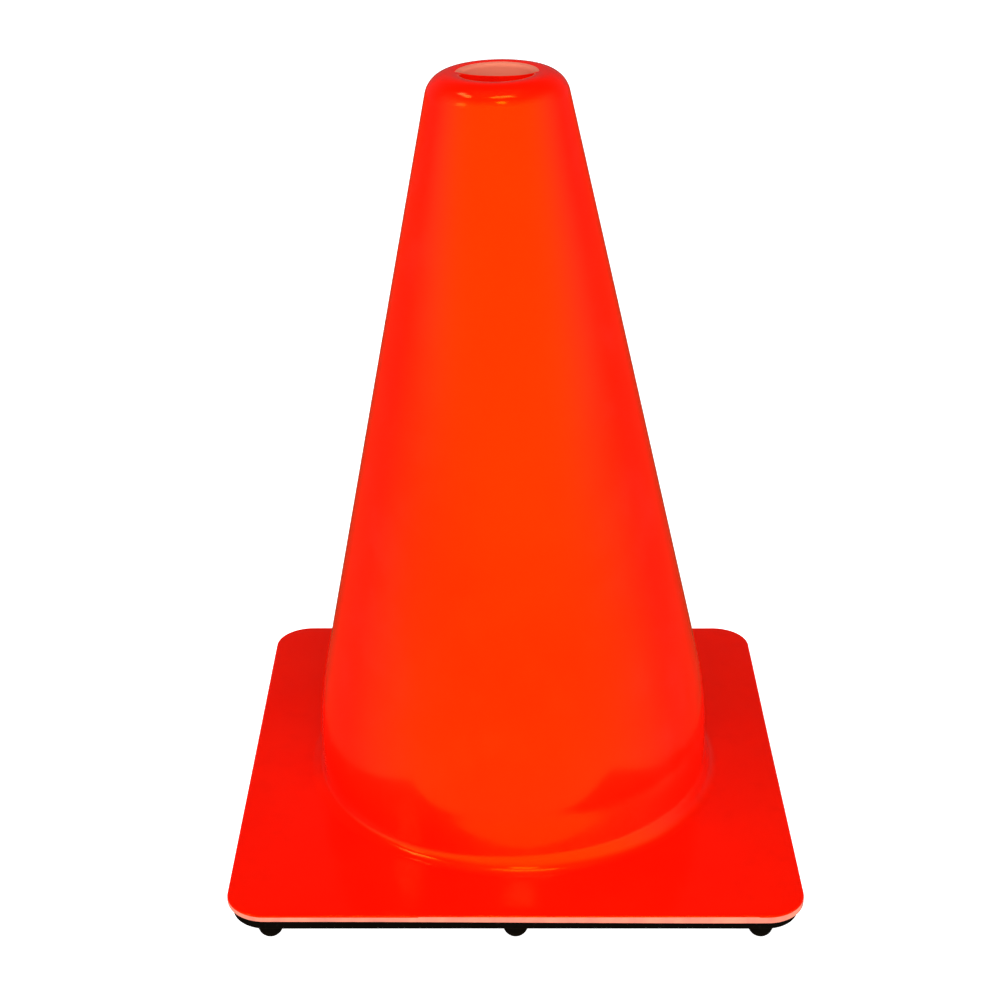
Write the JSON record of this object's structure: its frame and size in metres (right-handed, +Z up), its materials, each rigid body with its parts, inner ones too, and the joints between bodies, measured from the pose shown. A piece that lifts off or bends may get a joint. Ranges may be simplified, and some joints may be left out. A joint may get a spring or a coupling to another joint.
{
  "type": "traffic cone",
  "caption": "Small hollow safety cone with an open rounded top, on a square flange backed by a black ballast slab with domed feet.",
  "frame": {"origin": "on the floor, under the middle of the square base, on the axis of the cone", "axes": "+Z up along the cone's axis; X and Y along the sides of the square base"},
  "size_m": [0.219, 0.219, 0.3043],
  "materials": {
    "orange_vinyl": "fluorescent red-orange flexible PVC, injection moulded, glossy",
    "black_recycled_vinyl": "black recycled PVC, moulded, dull and slightly grainy"
  },
  "bodies": {
    "root": {"cone_shell": "orange_vinyl", "ballast_base": "black_recycled_vinyl"}
  },
  "joints": []
}
